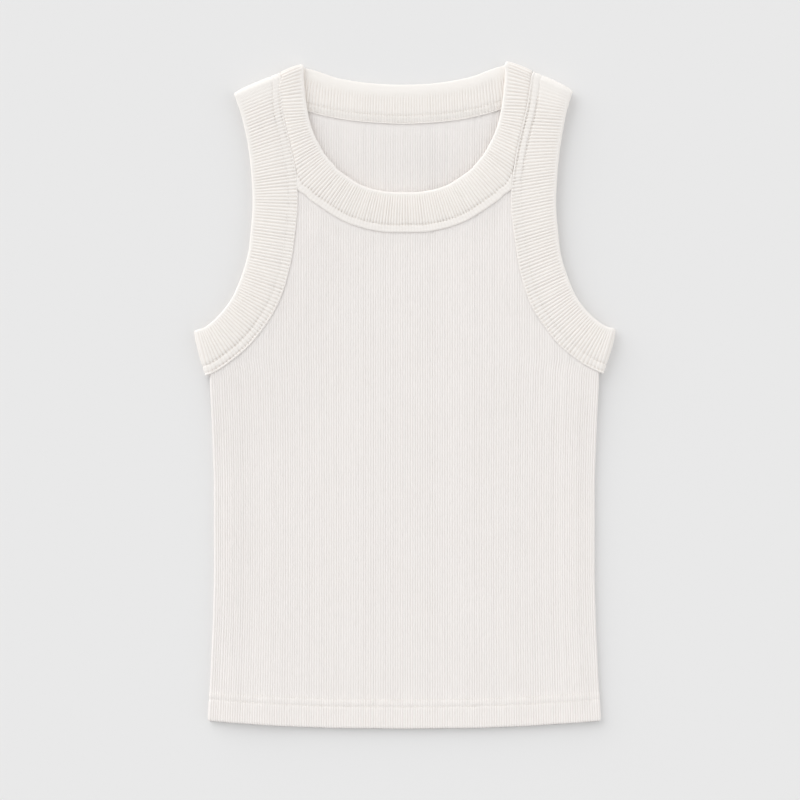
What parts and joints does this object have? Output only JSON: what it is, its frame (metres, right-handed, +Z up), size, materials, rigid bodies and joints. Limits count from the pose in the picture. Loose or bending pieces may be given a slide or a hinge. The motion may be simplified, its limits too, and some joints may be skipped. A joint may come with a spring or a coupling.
{
  "type": "ribbed tank top laid flat",
  "caption": "Sleeveless ribbed knit top laid flat, with a round neck, wide folded bindings at the neck and armholes, and a turned-up hem.",
  "frame": {"origin": "on the surface the garment lies on, under the middle of its outline", "axes": "+X to the right as seen from above, +Y from the hem to the neck, +Z up off the surface"},
  "size_m": [0.2672, 0.4256, 0.0079],
  "materials": {
    "body_rib_knit": "matte fine rib knit, off-white",
    "binding_rib_knit": "matte rib knit, ribs across the binding, off-white"
  },
  "bodies": {
    "root": {"front_panel": "body_rib_knit", "back_panel": "body_rib_knit", "neck_binding": "binding_rib_knit", "armhole_binding_left": "binding_rib_knit", "armhole_binding_right": "binding_rib_knit"}
  },
  "joints": []
}
